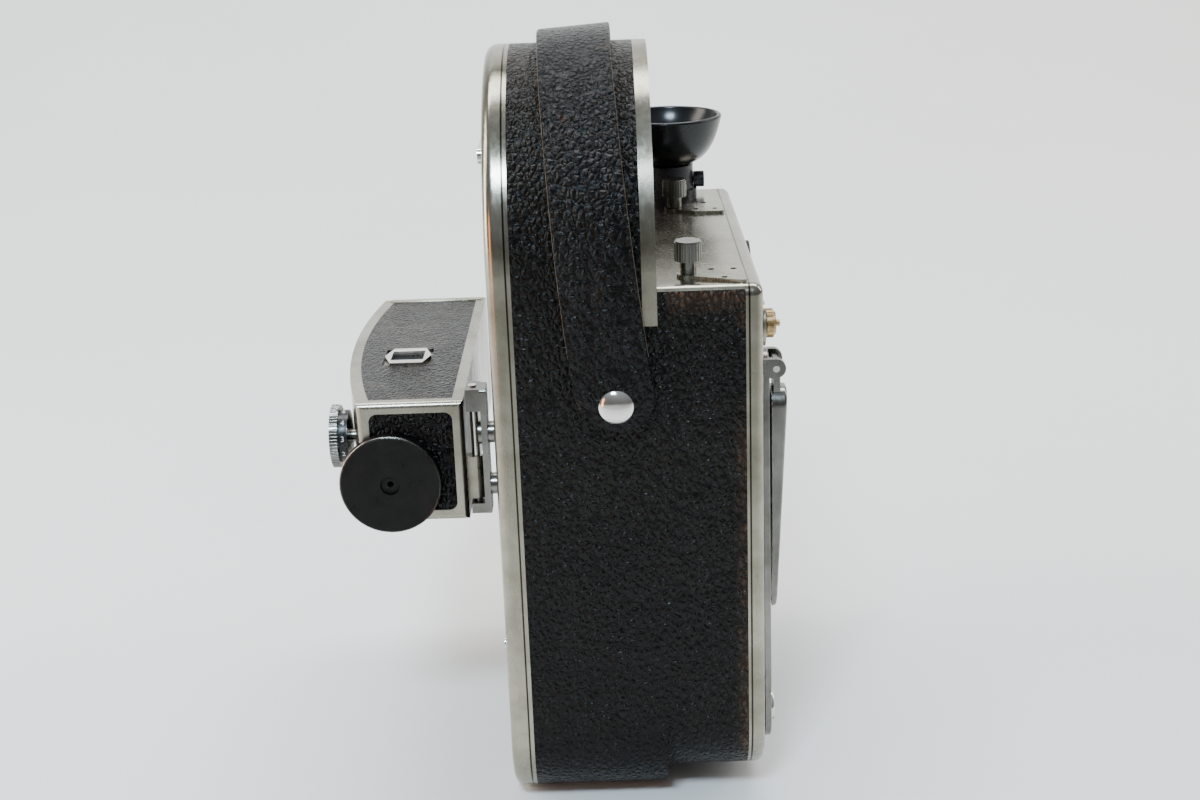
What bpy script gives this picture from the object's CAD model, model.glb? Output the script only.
import math

import bmesh
import bpy
from mathutils import Matrix, Vector, noise


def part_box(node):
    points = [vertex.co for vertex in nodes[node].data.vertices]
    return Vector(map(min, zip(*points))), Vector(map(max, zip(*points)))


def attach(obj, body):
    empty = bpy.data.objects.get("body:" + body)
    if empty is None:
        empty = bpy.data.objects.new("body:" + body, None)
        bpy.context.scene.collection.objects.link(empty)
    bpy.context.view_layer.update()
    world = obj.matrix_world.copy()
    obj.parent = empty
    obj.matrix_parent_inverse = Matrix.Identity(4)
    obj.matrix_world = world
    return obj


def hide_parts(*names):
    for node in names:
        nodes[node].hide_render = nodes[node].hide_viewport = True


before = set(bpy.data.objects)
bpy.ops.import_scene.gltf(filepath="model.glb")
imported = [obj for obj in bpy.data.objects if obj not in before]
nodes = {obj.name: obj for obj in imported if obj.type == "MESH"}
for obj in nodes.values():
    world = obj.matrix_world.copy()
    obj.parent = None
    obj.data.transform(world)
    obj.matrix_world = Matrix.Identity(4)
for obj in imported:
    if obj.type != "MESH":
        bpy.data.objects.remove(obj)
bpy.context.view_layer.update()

MM = 0.001


def box_mm(node):
    """Lowest and highest corner of a CAD node, in millimetres."""
    low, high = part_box(node)
    return Vector(low) / MM, Vector(high) / MM


# ---- sizes that the pieces share with the frame (millimetres) --------------------
casing_low, _ = box_mm("chamber_casing")
_, housing_high = box_mm("mechanism_housing")
_, lid_high = box_mm("lid_shell")
DOME_R = 54.0
DOME_Y = casing_low.y + DOME_R
HEIGHT = 216.0
DOME_Z = HEIGHT - DOME_R
SEAM_X = lid_high.x
BOX_X = housing_high.x
BOX_TOP = housing_high.z
BOX_LEATHER_TOP = BOX_TOP - 2.5
REAR_SKIN_Y = -40.2  # the finder's rear leather lies behind this
EYEPIECE_CENTRE = (-86.0, 0.0, 96.2)


# ---- camera ---------------------------------------------------------------------
CAMERA_LENS = 52.05
CAMERA_YAW, CAMERA_PITCH, CAMERA_ROLL = -0.47, 18.51, -2.07  # degrees
CAMERA_PLACE = (-20.94, -510.0, 275.93)  # millimetres


def make_camera():
    camera_data = bpy.data.cameras.new("camera")
    camera_data.sensor_width = 36.0
    camera_data.lens = CAMERA_LENS
    camera = bpy.data.objects.new("camera", camera_data)
    bpy.context.collection.objects.link(camera)
    yaw, pitch, roll = (math.radians(a) for a in (CAMERA_YAW, CAMERA_PITCH, CAMERA_ROLL))
    forward = Vector(
        (math.sin(yaw) * math.cos(pitch), math.cos(yaw) * math.cos(pitch), -math.sin(pitch))
    )
    level_right = Vector((math.cos(yaw), -math.sin(yaw), 0.0))
    level_up = level_right.cross(forward)
    right = level_right * math.cos(roll) + level_up * math.sin(roll)
    up = level_up * math.cos(roll) - level_right * math.sin(roll)
    place = Vector(CAMERA_PLACE) * MM
    matrix = Matrix((right, up, -forward)).transposed().to_4x4()
    matrix.translation = place
    camera.matrix_world = matrix
    camera_data.clip_start = 0.01
    camera_data.clip_end = 50.0
    bpy.context.scene.camera = camera


# ---- small mesh tools -----------------------------------------------------------------
def link_mesh(name, mesh, material=None, smooth=True):
    piece = bpy.data.objects.new(name, mesh)
    bpy.context.collection.objects.link(piece)
    if material:
        mesh.materials.append(material)
    if smooth:
        for polygon in mesh.polygons:
            polygon.use_smooth = True
    return piece


def mesh_from(name, points_mm, faces, material=None, smooth=True):
    mesh = bpy.data.meshes.new(name)
    mesh.from_pydata([tuple(Vector(p) * MM) for p in points_mm], [], faces)
    mesh.update()
    tidy = bmesh.new()
    tidy.from_mesh(mesh)
    bmesh.ops.remove_doubles(tidy, verts=tidy.verts, dist=1e-7)
    bmesh.ops.recalc_face_normals(tidy, faces=tidy.faces)
    tidy.to_mesh(mesh)
    tidy.free()
    return link_mesh(name, mesh, material, smooth)


def grid_faces(rows, columns, close_rows=False, close_columns=False):
    """Quads over a rows by columns grid of points."""
    faces = []
    for i in range(rows if close_rows else rows - 1):
        for j in range(columns if close_columns else columns - 1):
            a = i * columns + j
            b = i * columns + (j + 1) % columns
            c = ((i + 1) % rows) * columns + (j + 1) % columns
            d = ((i + 1) % rows) * columns + j
            faces.append((a, b, c, d))
    return faces


def lathe(name, profile, centre, axis, material, steps=96, smooth=True):
    """Turns (radius, height) points about an axis through centre (mm)."""
    axis = Vector(axis).normalized()
    side = axis.orthogonal().normalized()
    other = axis.cross(side)
    points = []
    for k in range(steps):
        angle = 2 * math.pi * k / steps
        out = side * math.cos(angle) + other * math.sin(angle)
        for radius, height in profile:
            points.append(Vector(centre) + out * radius + axis * height)
    faces = grid_faces(steps, len(profile), close_rows=True)
    return mesh_from(name, points, faces, material, smooth)


def sharpen(piece, angle_deg=35.0):
    """Shades flat across edges sharper than the angle."""
    piece.data.shade_smooth()
    piece.data.set_sharp_from_angle(angle=math.radians(angle_deg))


# ---- materials -------------------------------------------------------------------------
class Shader:
    """A Principled material with short helpers for its node tree."""

    def __init__(self, name):
        self.material = bpy.data.materials.new(name)
        self.material.use_nodes = True
        self.tree = self.material.node_tree
        self.bsdf = self.tree.nodes["Principled BSDF"]
        self.place = self.tree.nodes.new("ShaderNodeTexCoord").outputs["Object"]

    def link(self, a, b):
        self.tree.links.new(a, b)

    def new(self, kind, **settings):
        node = self.tree.nodes.new(kind)
        for key, value in settings.items():
            setattr(node, key, value)
        return node

    def stretched(self, scale):
        """Object coordinates multiplied by a per-axis scale."""
        mapping = self.new("ShaderNodeMapping")
        mapping.inputs["Scale"].default_value = scale
        self.link(self.place, mapping.inputs["Vector"])
        return mapping.outputs["Vector"]

    def noise(self, scale, detail=4.0, rough=0.55, vector=None, distortion=0.0):
        node = self.new("ShaderNodeTexNoise")
        node.inputs["Scale"].default_value = scale
        node.inputs["Detail"].default_value = detail
        node.inputs["Roughness"].default_value = rough
        node.inputs["Distortion"].default_value = distortion
        self.link(vector or self.place, node.inputs["Vector"])
        return node.outputs["Fac"]

    def cells(self, scale, vector=None, feature="F1", smooth=None):
        node = self.new("ShaderNodeTexVoronoi", feature=feature)
        node.inputs["Scale"].default_value = scale
        if smooth is not None:
            node.inputs["Smoothness"].default_value = smooth
        self.link(vector or self.place, node.inputs["Vector"])
        return node.outputs["Distance"]

    def ramp(self, value, stops):
        node = self.new("ShaderNodeValToRGB")
        elements = node.color_ramp.elements
        while len(elements) < len(stops):
            elements.new(0.5)
        for element, (position, colour) in zip(elements, stops):
            element.position = position
            element.color = (*colour, 1.0) if len(colour) == 3 else colour
        self.link(value, node.inputs["Fac"])
        return node.outputs["Color"]

    def span(self, value, from_low, from_high, to_low, to_high):
        node = self.new("ShaderNodeMapRange")
        node.inputs["From Min"].default_value = from_low
        node.inputs["From Max"].default_value = from_high
        node.inputs["To Min"].default_value = to_low
        node.inputs["To Max"].default_value = to_high
        self.link(value, node.inputs["Value"])
        return node.outputs["Result"]

    def math(self, operation, a, b):
        node = self.new("ShaderNodeMath", operation=operation)
        for socket, value in zip(node.inputs, (a, b)):
            if isinstance(value, (int, float)):
                socket.default_value = value
            else:
                self.link(value, socket)
        return node.outputs["Value"]

    def mix(self, factor, a, b, blend="MIX"):
        node = self.new("ShaderNodeMix", data_type="RGBA", blend_type=blend)
        sockets = {"Factor": factor, "A": a, "B": b}
        for socket in node.inputs:
            if socket.name in sockets and socket.enabled:
                value = sockets[socket.name]
                if isinstance(value, (int, float)):
                    socket.default_value = value
                elif isinstance(value, tuple):
                    socket.default_value = (*value, 1.0)
                else:
                    self.link(value, socket)
        return next(s for s in node.outputs if s.enabled)

    def axis(self, name):
        node = self.new("ShaderNodeSeparateXYZ")
        self.link(self.place, node.inputs["Vector"])
        return node.outputs[name]

    def bump(self, height, strength, distance_mm, under=None):
        node = self.new("ShaderNodeBump")
        node.inputs["Strength"].default_value = strength
        node.inputs["Distance"].default_value = distance_mm * MM
        self.link(height, node.inputs["Height"])
        if under is not None:
            self.link(under, node.inputs["Normal"])
        return node.outputs["Normal"]

    def set(self, **inputs):
        names = {
            "color": "Base Color",
            "metallic": "Metallic",
            "roughness": "Roughness",
            "normal": "Normal",
            "specular": "Specular IOR Level",
            "coat": "Coat Weight",
            "coat_roughness": "Coat Roughness",
            "sheen": "Sheen Weight",
            "transmission": "Transmission Weight",
            "ior": "IOR",
        }
        for key, value in inputs.items():
            socket = self.bsdf.inputs[names[key]]
            if isinstance(value, (int, float)):
                socket.default_value = value
            elif isinstance(value, tuple):
                socket.default_value = (*value, 1.0)
            else:
                self.link(value, socket)
        return self.material


def plated_metal(name, light, dark, rough, tarnish, brushed=None, seams=()):
    """Nickel or chrome plate with fine polish lines, soft stains and small pits."""
    s = Shader(name)
    stains = s.noise(55.0, 6.0, 0.62)
    specks = s.noise(620.0, 3.0, 0.7)
    base = s.ramp(stains, [(0.32, dark), (0.62, light)])
    spots = s.span(specks, 0.70, 0.78, 0.0, tarnish)
    color = s.mix(spots, base, (0.22, 0.13, 0.07))
    lines = s.noise(900.0, 3.0, 0.6, s.stretched(brushed or (1.0, 1.0, 0.12)))
    smudge = s.noise(24.0, 5.0, 0.6)
    wear = s.span(smudge, 0.3, 0.75, rough * 0.75, rough * 1.45)
    roughness = s.math("ADD", wear, s.span(lines, 0.3, 0.7, -0.03, 0.05))
    pits = s.bump(specks, 0.04, 0.02)
    normal = s.bump(lines, 0.06, 0.02, pits)
    for seam_x in seams:
        gap = s.math("ABSOLUTE", s.math("SUBTRACT", s.axis("X"), seam_x * MM), 0.0)
        color = s.mix(s.span(gap, 0.16 * MM, 0.34 * MM, 0.96, 0.0), color, (0.015, 0.012, 0.010))
    return s.set(color=color, metallic=1.0, roughness=roughness, normal=normal)


def pebble_height(s, grain_mm):
    """Raised irregular pebbles in oblique rows with fine creases between them."""
    turn = s.new("ShaderNodeMapping")
    turn.inputs["Rotation"].default_value = (0.6, 0.5, 0.65)
    turn.inputs["Scale"].default_value = (1.0, 1.0, 0.72)
    s.link(s.place, turn.inputs["Vector"])
    wander = s.new("ShaderNodeTexNoise")
    wander.inputs["Scale"].default_value = 420.0
    wander.inputs["Detail"].default_value = 2.0
    s.link(s.place, wander.inputs["Vector"])
    shift = s.new("ShaderNodeVectorMath", operation="MULTIPLY_ADD")
    shift.inputs[1].default_value = (1.5 * MM,) * 3
    s.link(wander.outputs["Color"], shift.inputs[0])
    s.link(turn.outputs["Vector"], shift.inputs[2])
    oblique = shift.outputs["Vector"]
    crease = s.cells(1000.0 / grain_mm, oblique, "DISTANCE_TO_EDGE")
    domes = s.cells(1000.0 / grain_mm, oblique, "F1")
    fine = s.noise(2600.0, 4.0, 0.65, oblique)
    plateau = s.span(crease, 0.0, 0.22, 0.0, 1.0)
    rounding = s.span(domes, 0.05, 0.8, 1.0, 0.15)
    raised = s.math("MULTIPLY", plateau, rounding)
    return raised, s.math("ADD", raised, s.math("MULTIPLY", fine, 0.18)), fine


def leather_shader(s, tone, rubbed, grain_mm, rubbed_colour=(0.10, 0.055, 0.032)):
    """Closes a leather material: dark creases, rubbed tops, a dull uneven polish."""
    raised, height, fine = pebble_height(s, grain_mm)
    shade = s.mix(s.span(raised, 0.05, 0.65, 0.95, 0.0), tone, (0.0012, 0.0012, 0.0011))
    tops = s.math("MULTIPLY", rubbed, s.span(raised, 0.3, 0.9, 0.25, 1.0))
    color = s.mix(tops, shade, rubbed_colour)
    polish = s.noise(45.0, 4.0, 0.6)
    grain = s.span(fine, 0.25, 0.75, 0.17, 0.27)
    roughness = s.math("ADD", grain, s.span(polish, 0.3, 0.7, 0.0, 0.08))
    normal = s.bump(height, 1.0, 0.6)
    return s.set(color=color, roughness=roughness, normal=normal, specular=0.16)


def body_leather():
    """Case leather, brown where hands rub the top edge of the box and the dome."""
    s = Shader("case_leather")
    broad = s.noise(38.0, 5.0, 0.62)
    shift = s.span(broad, 0.38, 0.7, 0.0, 1.0)
    tone = s.mix(shift, (0.0030, 0.0034, 0.0028), (0.0085, 0.0080, 0.0058))
    top = s.span(s.axis("Z"), (BOX_LEATHER_TOP - 6.0) * MM, BOX_LEATHER_TOP * MM, 0.0, 0.8)
    in_box = s.span(s.axis("X"), -7.0 * MM, -5.0 * MM, 0.0, 1.0)
    edge = s.span(s.axis("X"), (BOX_X - 5.0) * MM, (BOX_X - 1.0) * MM, 0.0, 0.9)
    dome = s.span(s.axis("Z"), 196.0 * MM, 214.0 * MM, 0.0, 0.22)
    patches = s.span(broad, 0.42, 0.6, 0.0, 1.0)
    worn = s.math("MAXIMUM", s.math("MULTIPLY", top, in_box), s.math("MULTIPLY", edge, patches))
    rubbed = s.math("MAXIMUM", worn, dome)
    specks = s.span(s.noise(170.0, 2.0, 0.4), 0.775, 0.80, 0.0, 0.6)
    rubbed = s.math("MAXIMUM", rubbed, specks)
    return leather_shader(s, tone, rubbed, 1.55)


def finder_skin():
    """Grey-brown leather on the finder's top and black leather on its rear face."""
    s = Shader("finder_leather")
    broad = s.noise(90.0, 5.0, 0.62)
    black = s.mix(broad, (0.003, 0.0033, 0.003), (0.009, 0.009, 0.008))
    shift = s.span(broad, 0.35, 0.68, 0.0, 1.0)
    faded = s.mix(shift, (0.020, 0.0175, 0.014), (0.055, 0.047, 0.037))
    before, behind = (REAR_SKIN_Y - 0.1) * MM, (REAR_SKIN_Y + 0.1) * MM
    on_top = s.span(s.axis("Y"), before, behind, 0.0, 1.0)
    tone = s.mix(on_top, black, faded)
    rubbed = s.math("MULTIPLY", s.span(broad, 0.52, 0.66, 0.0, 0.5), on_top)
    return leather_shader(s, tone, rubbed, 1.5, (0.17, 0.135, 0.10))


def strap_skin():
    """Strap leather with a coarser, slightly bluish polish."""
    s = Shader("strap_leather")
    broad = s.noise(50.0, 5.0, 0.6)
    tone = s.mix(broad, (0.0030, 0.0034, 0.0036), (0.0075, 0.0080, 0.0086))
    rubbed = s.span(s.noise(110.0, 3.0, 0.5), 0.66, 0.74, 0.0, 0.5)
    return leather_shader(s, tone, rubbed, 1.7)


def cut_leather(name):
    """Pale fibrous cut edge of thick leather."""
    s = Shader(name)
    fibres = s.noise(900.0, 5.0, 0.7, s.stretched((1.0, 0.4, 0.4)))
    color = s.ramp(fibres, [(0.3, (0.05, 0.034, 0.022)), (0.7, (0.24, 0.17, 0.11))])
    normal = s.bump(fibres, 0.5, 0.15)
    return s.set(color=color, roughness=0.85, normal=normal)


def enamel(name, colour, rough, scratch=0.5, hair_scale=1400.0):
    """Black lacquer with hairline scratches and dust."""
    s = Shader(name)
    hair = s.noise(hair_scale, 2.0, 0.5, s.stretched((1.0, 0.15, 1.0)))
    dust = s.noise(420.0, 5.0, 0.7)
    broad = s.noise(90.0, 3.0, 0.5)
    tone = s.ramp(broad, [(0.3, colour), (0.7, tuple(c * 1.7 for c in colour))])
    color = s.mix(s.span(dust, 0.62, 0.78, 0.0, 0.25 * scratch), tone, (0.25, 0.22, 0.19))
    roughness = s.span(hair, 0.35, 0.7, rough * 0.8, rough * 1.5)
    normal = s.bump(hair, 0.08 * scratch, 0.02)
    return s.set(color=color, roughness=roughness, normal=normal, specular=0.35)


def turned_black(name, centre, rough=0.36, groove_mm=0.6):
    """Black anodised disc with fine concentric turning lines about an axis along Y (mm)."""
    s = Shader(name)
    mapping = s.new("ShaderNodeMapping")
    mapping.inputs["Location"].default_value = tuple(-c * MM for c in centre)
    s.link(s.place, mapping.inputs["Vector"])
    flat = s.new("ShaderNodeVectorMath", operation="MULTIPLY")
    flat.inputs[1].default_value = (1.0, 0.0, 1.0)
    s.link(mapping.outputs["Vector"], flat.inputs[0])
    length = s.new("ShaderNodeVectorMath", operation="LENGTH")
    s.link(flat.outputs["Vector"], length.inputs[0])
    phase = s.math("MULTIPLY", length.outputs["Value"], 2 * math.pi / (groove_mm * MM))
    wave = s.math("SINE", phase, 0.0)
    blur = s.noise(180.0, 4.0, 0.6)
    color = s.ramp(blur, [(0.3, (0.004, 0.004, 0.0035)), (0.7, (0.010, 0.009, 0.008))])
    roughness = s.span(blur, 0.3, 0.7, rough * 0.7, rough * 1.1)
    normal = s.bump(wave, 0.35, 0.06)
    return s.set(color=color, roughness=roughness, normal=normal, specular=0.14)


def clear_glass(name, tint):
    s = Shader(name)
    smear = s.noise(150.0, 4.0, 0.6)
    roughness = s.span(smear, 0.4, 0.75, 0.02, 0.10)
    color = s.mix(s.span(smear, 0.3, 0.8, 0.0, 0.4), tint, tuple(c * 0.8 for c in tint))
    return s.set(color=color, roughness=roughness, transmission=0.85, ior=1.5)


def warm_brass(name):
    s = Shader(name)
    age = s.noise(240.0, 5.0, 0.65)
    color = s.ramp(age, [(0.3, (0.20, 0.12, 0.06)), (0.68, (0.62, 0.44, 0.22))])
    roughness = s.span(age, 0.3, 0.7, 0.45, 0.24)
    return s.set(color=color, metallic=1.0, roughness=roughness, normal=s.bump(age, 0.2, 0.04))


MATERIALS = {
    "satin": plated_metal("satin_nickel", (0.385, 0.365, 0.30), (0.22, 0.205, 0.155), 0.24, 0.5),
    "case": plated_metal(
        "case_nickel", (0.355, 0.335, 0.27), (0.20, 0.185, 0.14), 0.22, 0.4, seams=(SEAM_X, BOX_X)
    ),
    "bright": plated_metal("bright_nickel", (0.86, 0.84, 0.80), (0.64, 0.61, 0.56), 0.12, 0.6),
    "leather": body_leather(),
    "finder_leather": finder_skin(),
    "strap": strap_skin(),
    "cut_edge": cut_leather("cut_leather"),
    "enamel": enamel("black_enamel", (0.012, 0.012, 0.013), 0.30),
    "eyecup": enamel("eyecup_black", (0.003, 0.0035, 0.004), 0.20, 0.03, 60.0),
    "disc": turned_black("eyepiece_black", EYEPIECE_CENTRE),
    "steel": plated_metal("steel", (0.26, 0.255, 0.235), (0.12, 0.115, 0.10), 0.20, 0.4),
    "spring": plated_metal("spring_steel", (0.20, 0.22, 0.28), (0.10, 0.11, 0.14), 0.30, 0.2),
    "aluminium": plated_metal("aluminium", (0.78, 0.78, 0.78), (0.62, 0.62, 0.62), 0.36, 0.1),
    "brass": warm_brass("aged_brass"),
    "glass": clear_glass("lens_glass", (0.80, 0.86, 0.92)),
    "dark_glass": enamel("window_dark", (0.010, 0.013, 0.016), 0.07, 0.1),
    "white": enamel("white_paint", (0.62, 0.60, 0.55), 0.45),
}

CAD_FINISH = {
    "case": ("chamber_casing", "mechanism_housing", "mechanism_cover", "lid_shell"),
    "satin": (
        "front_block", "turret", "finder_housing", "accessory_shoes", "base_plate",
        "dial_plates",
    ),
    "bright": (
        "strap_stud", "crank_fasteners", "turret_pivot", "finder_window", "finder_hinge_pin",
        "case_screws", "upper_latch", "lower_latch",
    ),
    "leather": ("body_leather", "cover_leather", "lid_leather"),
    "finder_leather": ("finder_leather",),
    "strap": ("carry_strap",),
    "disc": ("finder_eyepiece",),
    "enamel": (
        "lens_barrel", "focus_ring", "iris_ring", "focuser_stem",
        "speed_dial", "focuser_clamp", "shutter", "gate_plate", "pressure_plate",
    ),
    "eyecup": ("focuser_eyecup",),
    "aluminium": ("feed_spool", "takeup_spool", "bearing_plate"),
    "steel": (
        "crank_arbor", "spool_spindles", "sprocket_upper", "sprocket_lower", "claw",
        "release_button", "tripod_bush", "crank_arm", "crank_handle", "finder_knob",
        "rear_shoe_screw", "front_shoe_screw", "finder_bracket",
    ),
    "spring": ("mainspring",),
    "brass": ("counter_knob", "winding_wheel", "spring_barrel", "train_wheel", "shutter_drive"),
    "glass": ("lens_glass", "focuser_lens", "focuser_prism"),
    "dark_glass": ("finder_glass",),
}


def finish_cad_nodes():
    for finish, names in CAD_FINISH.items():
        for name in names:
            node = nodes[name]
            node.data.materials.clear()
            node.data.materials.append(MATERIALS[finish])


# ---- pieces ---------------------------------------------------------------------------------
def settle(piece, body, slot, *stands_for):
    """Puts a piece on its body, with its finish slot and the CAD nodes it stands for."""
    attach(piece, body)
    if stands_for:
        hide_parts(*stands_for)
    return piece


STRAP_THICK = 2.5
STRAP_HALF = 11.0
STRAP_FOOT_Z = 118.6
STUD_X, STUD_Z = -20.3, 125.9
APEX_X = -29.0
FRONT_DEG = 35.0
FRONT_STUD_IN = 8.0
STRAP_R = DOME_R + 2.0 + STRAP_THICK / 2
STRAP_LENGTH = DOME_Z - STRAP_FOOT_Z + STRAP_R * math.radians(180 - FRONT_DEG)


def strap_spine(length):
    """Point, outward direction and travel direction of the strap, length mm above its foot."""
    radius = STRAP_R
    straight = DOME_Z - STRAP_FOOT_Z
    way = (length - (STUD_Z - STRAP_FOOT_Z)) / (DOME_Z - STUD_Z + radius * math.pi / 2)
    eased = 1 - max(0.0, 1 - way) ** 1.9 if way > 0 else 1.9 * way
    centre_x = STUD_X + (APEX_X - STUD_X) * eased
    if length < straight:
        pressed = 0.7 * max(0.0, 1 - length / 32.0)
        place = Vector((centre_x, DOME_Y - radius + pressed, STRAP_FOOT_Z + length))
        return place, Vector((0, -1, 0)), Vector((0, 0, 1))
    angle = math.pi - (length - straight) / radius
    out = Vector((0, math.cos(angle), math.sin(angle)))
    place = Vector((centre_x, DOME_Y, DOME_Z)) + out * radius
    return place, out, Vector((0, math.sin(angle), -math.cos(angle)))


def strap_section(half):
    """Across the strap: (sideways, outward) points round a band with soft corners."""
    t, r = STRAP_THICK / 2, 0.7
    points = []
    corners = (
        (half - r, t - r, 0), (-half + r, t - r, 90), (-half + r, -t + r, 180),
        (half - r, -t + r, 270),
    )
    for x, y, first in corners:
        for k in range(4):
            angle = math.radians(first + 30 * k)
            points.append((x + r * math.cos(angle), y + r * math.sin(angle)))
    return points


def strap_half_width(length, total):
    """Half width: a little narrower over the dome, drawn in round the strap's two ends."""
    end = min(length, total - length)
    if end < STRAP_HALF:
        return max(1.2, math.sqrt(STRAP_HALF**2 - (STRAP_HALF - end) ** 2))
    return STRAP_HALF - 0.9 * min(1.0, (end - STRAP_HALF) / 60.0)


def make_strap():
    total = STRAP_LENGTH
    stations = [0.0, 0.3, 0.8, 1.6, 3.0, 5.0, 7.5]
    steps = 150
    stations += [11.0 + (total - 22.0) * k / steps for k in range(steps + 1)]
    stations += [total - d for d in (7.5, 5.0, 3.0, 1.6, 0.8, 0.3, 0.0)]
    points = []
    for length in stations:
        place, out, _ = strap_spine(length)
        half = strap_half_width(length, total)
        lift = 1.0 * min(1.0, max(0.0, (length - 14.0) / 45.0)) * min(1.0, (total - length) / 45.0)
        wave = 0.25 * noise.noise(Vector((length * 0.04, 3.1, 0.0)))
        for side, depth in strap_section(half):
            tilt = lift * side / STRAP_HALF
            points.append(place + Vector((side, 0, 0)) + out * (depth + tilt * 0.75 + wave * lift))
    count = len(strap_section(STRAP_HALF))
    faces = grid_faces(len(stations), count, close_columns=True)
    last = (len(stations) - 1) * count
    faces.append(tuple(range(count)))
    faces.append(tuple(last + k for k in range(count)))
    strap = mesh_from("carrying_strap", points, faces, MATERIALS["strap"])
    strap.data.materials.append(MATERIALS["cut_edge"])
    for polygon in strap.data.polygons:
        place = polygon.center / MM
        if abs(polygon.normal.x) > 0.80 and place.z > 140.0:
            polygon.material_index = 1
    sharpen(strap, 50)
    settle(strap, "root", "strap_leather", "carry_strap")


def make_studs():
    """Domed nickel stud at the rear end of the strap, and its twin at the front end."""
    head = [
        (0.0, 1.65), (1.3, 1.58), (2.5, 1.34), (3.6, 0.92), (4.45, 0.4), (4.85, 0.0), (4.85, -0.4),
        (0.0, -0.4),
    ]
    shank = [(0.0, 0.0), (1.6, 0.0), (1.6, -4.0), (0.0, -4.0)]
    base_y = strap_spine(STUD_Z - STRAP_FOOT_Z)[0].y - STRAP_THICK / 2 + 0.15
    rear = lathe("rear_strap_stud", head, (STUD_X, base_y, STUD_Z), (0, -1, 0), MATERIALS["bright"])
    sharpen(rear, 40)
    settle(rear, "root", "bright_nickel", "strap_stud")
    seat = (STUD_X, base_y, STUD_Z)
    pin = lathe("rear_stud_shank", shank, seat, (0, -1, 0), MATERIALS["steel"], 32)
    settle(pin, "root", "steel")
    place, out, _ = strap_spine(STRAP_LENGTH - FRONT_STUD_IN)
    place = place + out * (STRAP_THICK / 2 - 0.25)
    front = lathe("front_strap_stud", head, place, out, MATERIALS["bright"])
    sharpen(front, 40)
    settle(front, "root", "bright_nickel")
    pin = lathe("front_stud_shank", shank, place, out, MATERIALS["steel"], 32)
    settle(pin, "root", "steel")


def make_eyepiece_rim():
    """Thin bright bevel round the edge of the black eyepiece disc."""
    low, high = box_mm("finder_eyepiece")
    centre = ((low.x + high.x) / 2, low.y, (low.z + high.z) / 2)
    outer = (high.x - low.x) / 2
    profile = [
        (outer - 0.5, -0.05), (outer - 0.05, -0.35), (outer + 0.02, -0.8), (outer + 0.02, -1.3),
        (outer - 0.3, -1.3), (outer - 0.5, -0.4),
    ]
    profile.append(profile[0])
    ring = lathe("eyepiece_bevel", profile, centre, (0, -1, 0), MATERIALS["steel"], 160)
    settle(ring, "eyepiece", "steel")


KNOB_Y, KNOB_Z = -29.0, 106.5
DRUM_R = 7.6
DRUM_X = (-101.15, -98.65)
FIGURE_SIZE = 2.3
FIRST_FIGURE_DEG, FIGURE_STEP_DEG = 205, 36


def make_knob_scale():
    """Black number drum beside the finder's knurled wheel, with white engraved figures."""
    low_x, high_x = DRUM_X
    skin = 0.06
    inner, outer = DRUM_R - 0.4, DRUM_R + skin
    profile = [(inner, high_x), (outer, high_x), (outer, low_x), (inner, low_x)]
    centre = (0, KNOB_Y, KNOB_Z)
    drum = lathe("knob_scale_drum", profile, centre, (1, 0, 0), MATERIALS["enamel"], 128)
    sharpen(drum)
    settle(drum, "finder_knob", "black_enamel")
    figures = ("2", "3", "4", "5", "7", "10", "15", "25", "50")
    for k, figure in enumerate(figures):
        angle = math.radians(FIRST_FIGURE_DEG - FIGURE_STEP_DEG * k)
        out = Vector((0, math.cos(angle), math.sin(angle)))
        curve = bpy.data.curves.new(f"knob_figure_{k}", "FONT")
        curve.body = figure
        curve.size = FIGURE_SIZE * MM
        curve.extrude = 0.03 * MM
        curve.align_x = "CENTER"
        curve.align_y = "CENTER"
        text = bpy.data.objects.new(f"knob_figure_{k}", curve)
        bpy.context.collection.objects.link(text)
        across = Vector((1, 0, 0))
        upward = out.cross(across)
        place = Vector((sum(DRUM_X) / 2, KNOB_Y, KNOB_Z)) + out * (outer + 0.05)
        matrix = Matrix((across, upward, out)).transposed().to_4x4()
        matrix.translation = place * MM
        text.matrix_world = matrix
        curve.materials.append(MATERIALS["white"])
        settle(text, "finder_knob", "black_enamel")


RIDGE_LEFT, RIDGE_RIGHT = -97.0, -65.0
RIDGE_R, RIDGE_END_R = 0.6, 0.35
RIDGE_STEPS = 10


def make_finder_ridges():
    """Two half-round ribs across the front edge of the finder's top."""
    _, high = box_mm("finder_housing")
    for k, y in enumerate((high.y - 2.4, high.y - 0.9)):
        points = []
        for x in (RIDGE_LEFT, RIDGE_LEFT + 0.5, RIDGE_RIGHT - 0.5, RIDGE_RIGHT):
            radius = RIDGE_END_R if x in (RIDGE_LEFT, RIDGE_RIGHT) else RIDGE_R
            for j in range(RIDGE_STEPS + 1):
                angle = math.pi * j / RIDGE_STEPS
                across, up = radius * math.cos(angle), radius * math.sin(angle)
                points.append((x, y + across, high.z - 0.15 + up))
        faces = grid_faces(4, RIDGE_STEPS + 1, close_columns=True)
        ridge = mesh_from(f"finder_ridge_{k}", points, faces, MATERIALS["satin"])
        settle(ridge, "finder", "satin_nickel")


FINDER_SCREWS = ((-95.3, -33.0, 117.0), (-99.6, -12.0, 117.2), (-102.3, 20.0, 117.2))


def make_finder_screws():
    """Small plain screw heads on the outer side of the finder."""
    head = [(0.0, 0.35), (0.9, 0.35), (1.2, 0.1), (1.2, -0.4), (0.0, -0.4)]
    for k, place in enumerate(FINDER_SCREWS):
        screw = lathe(f"finder_screw_{k}", head, place, (-1, 0, 0), MATERIALS["steel"], 32)
        sharpen(screw)
        settle(screw, "finder", "steel")


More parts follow.
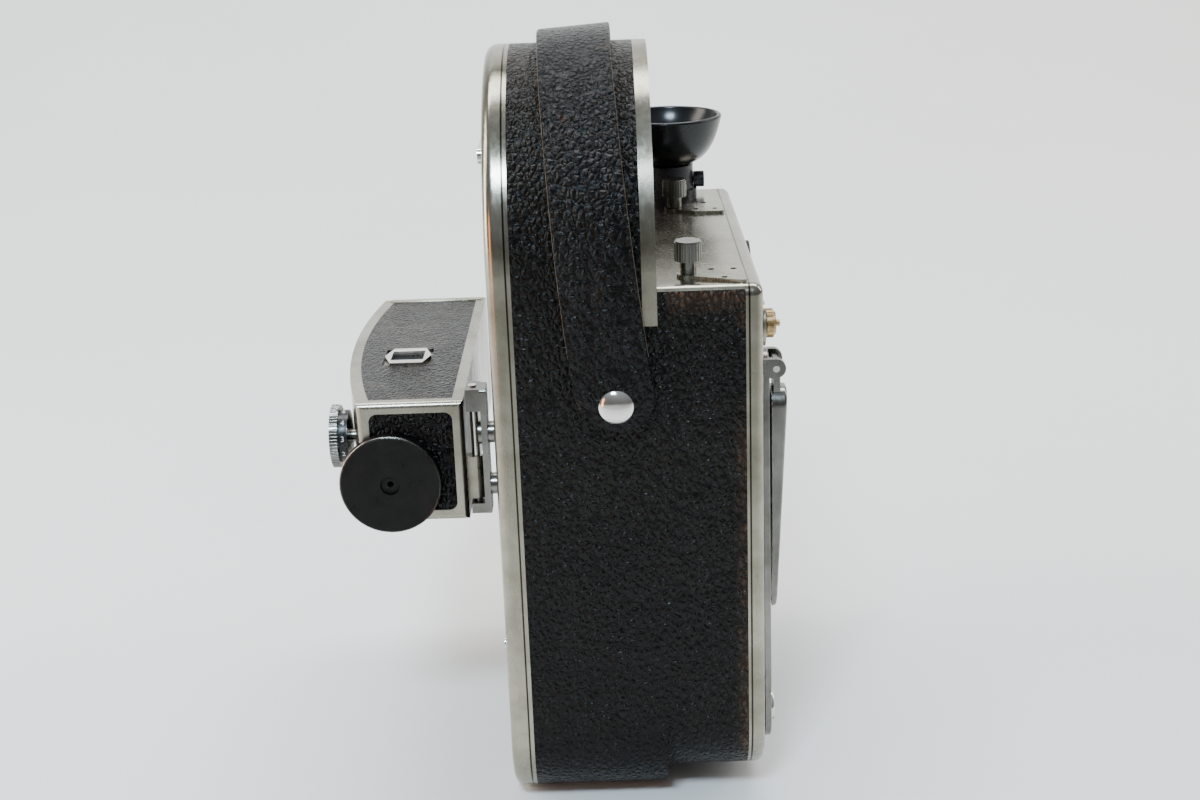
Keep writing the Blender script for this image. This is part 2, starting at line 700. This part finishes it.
# ---- stage ---------------------------------------------------------------------------------
def make_stage():
    """Pale seamless floor that curves up into a backdrop in front of the camera."""
    half, bend_y, bend_r, top, steps = 3.0, 0.9, 1.0, 4.0, 12  # metres
    rows = []
    for x in (-half, half):
        row = [(x, -half, 0.0), (x, bend_y, 0.0)]
        for k in range(1, steps + 1):
            angle = math.radians(90 * k / steps)
            y, z = bend_y + bend_r * math.sin(angle), bend_r - bend_r * math.cos(angle)
            row.append((x, y, z))
        row.append((x, bend_y + bend_r, top))
        rows.append(row)
    points = [Vector(p) / MM - Vector((0, 0, 0.3)) for row in rows for p in row]
    s = Shader("pale_floor")
    cloud = s.noise(3.0, 4.0, 0.5)
    pale = s.ramp(cloud, [(0.3, (0.79, 0.795, 0.78)), (0.7, (0.84, 0.84, 0.825))])
    warm = s.mix(s.span(s.axis("X"), -0.1, 0.7, 0.0, 0.6), pale, (0.82, 0.815, 0.72))
    color = s.mix(s.span(s.axis("Y"), -0.45, -0.08, 0.9, 0.0), warm, (0.27, 0.26, 0.24))
    s.set(color=color, roughness=0.85, specular=0.1)
    floor = mesh_from("floor", points, grid_faces(2, len(rows[0])), s.material)


def area_light(name, place, target, size, power, colour):
    data = bpy.data.lights.new(name, "AREA")
    data.shape = "RECTANGLE"
    data.size, data.size_y = size
    data.energy = power
    data.color = colour
    light = bpy.data.objects.new(name, data)
    bpy.context.collection.objects.link(light)
    light.location = place
    direction = Vector(target) - Vector(place)
    light.rotation_euler = direction.to_track_quat("-Z", "Y").to_euler()
    return light


def make_world():
    """Dim room: darker low down behind the camera, lighter overhead."""
    world = bpy.data.worlds.new("studio")
    world.use_nodes = True
    tree = world.node_tree
    background = tree.nodes["Background"]
    place = tree.nodes.new("ShaderNodeTexCoord").outputs["Generated"]
    parts = tree.nodes.new("ShaderNodeSeparateXYZ")
    tree.links.new(place, parts.inputs["Vector"])
    ramp = tree.nodes.new("ShaderNodeValToRGB")
    height = tree.nodes.new("ShaderNodeMapRange")
    height.inputs["From Min"].default_value = -0.3
    height.inputs["From Max"].default_value = 1.0
    tree.links.new(parts.outputs["Z"], height.inputs["Value"])
    tree.links.new(height.outputs["Result"], ramp.inputs["Fac"])
    ramp.color_ramp.elements[0].color = (0.10, 0.085, 0.07, 1.0)
    ramp.color_ramp.elements[1].color = (0.55, 0.60, 0.66, 1.0)
    tree.links.new(ramp.outputs["Color"], background.inputs["Color"])
    background.inputs["Strength"].default_value = 0.8
    bpy.context.scene.world = world


def make_lights():
    target = (-0.02, 0.0, 0.14)
    area_light("window_high", (-0.22, -0.85, 1.05), target, (0.30, 0.22), 17.0, (0.66, 0.84, 1.0))
    area_light("window_left", (-1.3, 0.10, 0.55), target, (0.5, 1.2), 18.0, (1.0, 0.94, 0.86))
    low_target = (-0.05, -0.05, 0.12)
    area_light("warm_card", (-0.55, -0.42, 0.05), low_target, (0.14, 0.6), 1.3, (1.0, 0.40, 0.16))
    area_light("window_right", (1.2, 0.3, 0.8), target, (0.4, 0.9), 7.0, (0.95, 0.97, 1.0))
    area_light("wall_wash", (0.0, 0.75, 2.3), (0.0, 1.3, 0.2), (2.4, 0.9), 78.0, (0.97, 0.98, 1.0))


make_camera()
finish_cad_nodes()
make_strap()
make_studs()
make_eyepiece_rim()
make_knob_scale()
make_finder_ridges()
make_finder_screws()
make_stage()
make_world()
make_lights()
